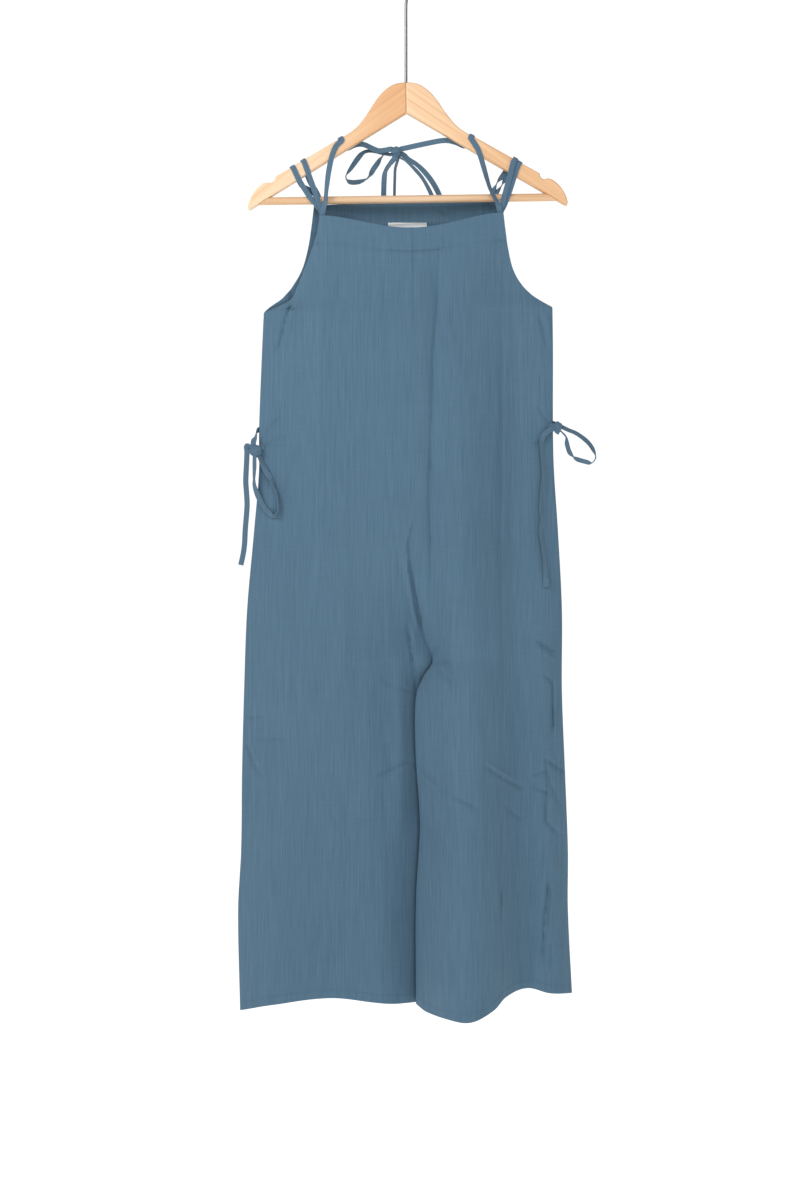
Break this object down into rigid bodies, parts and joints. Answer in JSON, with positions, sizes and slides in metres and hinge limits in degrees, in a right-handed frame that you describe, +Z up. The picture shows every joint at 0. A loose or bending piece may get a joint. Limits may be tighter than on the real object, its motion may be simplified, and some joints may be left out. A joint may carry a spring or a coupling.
{
  "type": "sleeveless wide-leg jumpsuit on a wooden clothes hanger",
  "caption": "Sleeveless wide-leg jumpsuit of light slate-blue cloth with narrow tie straps, hung by its shoulder straps on a wooden hanger with a bar and a long steel hook.",
  "frame": {"origin": "seat of the hanger's hook: the inner top of its bend, where a rail carries it", "axes": "+Z up along the hang of the garment, -Y the garment's front, +X the wearer's left"},
  "size_m": [0.4989, 0.1366, 1.4739],
  "materials": {
    "slate_blue_cloth": "light plain-woven cloth with fine vertical slubs, matt",
    "slate_blue_strap": "the same cloth turned and pressed into flat narrow straps",
    "white_label": "blank white satin tape",
    "pale_lotus_wood": "pale yellow wood under clear semi-gloss lacquer",
    "warm_lotus_wood": "warmer wood with dark grain under clear semi-gloss lacquer",
    "plated_steel": "plain plated steel wire, softly bright"
  },
  "bodies": {
    "root": {"front_right_panel": "slate_blue_cloth", "front_left_panel": "slate_blue_cloth", "back_right_panel": "slate_blue_cloth", "back_left_panel": "slate_blue_cloth", "neck_label": "white_label", "strap_right_outer": "slate_blue_strap", "strap_right_inner": "slate_blue_strap", "strap_left_outer": "slate_blue_strap", "strap_left_inner": "slate_blue_strap", "halter_right": "slate_blue_strap", "halter_left": "slate_blue_strap", "bow_knot": "slate_blue_strap", "bow_loop_right": "slate_blue_strap", "bow_loop_left": "slate_blue_strap", "bow_tail_right": "slate_blue_strap", "bow_tail_left": "slate_blue_strap", "tie_right_knot": "slate_blue_strap", "tie_right_back": "slate_blue_strap", "tie_right_front": "slate_blue_strap", "tie_right_loop": "slate_blue_strap", "tie_right_end": "slate_blue_strap", "tie_left_knot": "slate_blue_strap", "tie_left_back": "slate_blue_strap", "tie_left_front": "slate_blue_strap", "tie_left_loop": "slate_blue_strap", "tie_left_end": "slate_blue_strap", "hanger_arm_right": "pale_lotus_wood", "hanger_arm_left": "warm_lotus_wood", "hanger_bar": "warm_lotus_wood", "hanger_hook": "plated_steel"}
  },
  "joints": []
}
